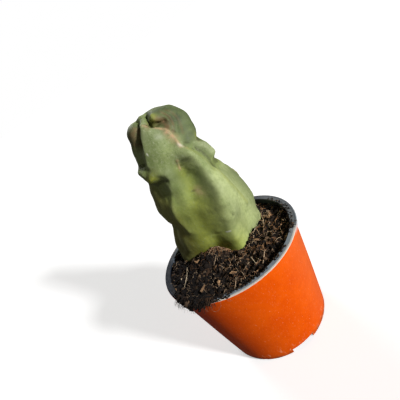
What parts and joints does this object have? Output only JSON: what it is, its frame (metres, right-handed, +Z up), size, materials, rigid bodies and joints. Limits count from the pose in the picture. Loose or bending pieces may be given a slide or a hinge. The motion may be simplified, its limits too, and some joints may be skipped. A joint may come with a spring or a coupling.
{
  "type": "totem pole cactus",
  "caption": "Spineless totem pole cactus with a lumpy ribbed stem, standing in dark potting mix in a round tapered plastic nursery pot.",
  "frame": {"origin": "centre of the pot's feet, on the plane that they stand on", "axes": "+Z up along the pot's axis, -Y towards the stem's broad face with the arched hollow in it"},
  "size_m": [0.105, 0.105, 0.1855],
  "materials": {
    "pot_plastic": "satin",
    "potting_mix": "matte",
    "cactus_skin": "satin"
  },
  "bodies": {
    "root": {"pot": "pot_plastic", "potting_mix": "potting_mix", "cactus_stem": "cactus_skin"}
  },
  "joints": []
}
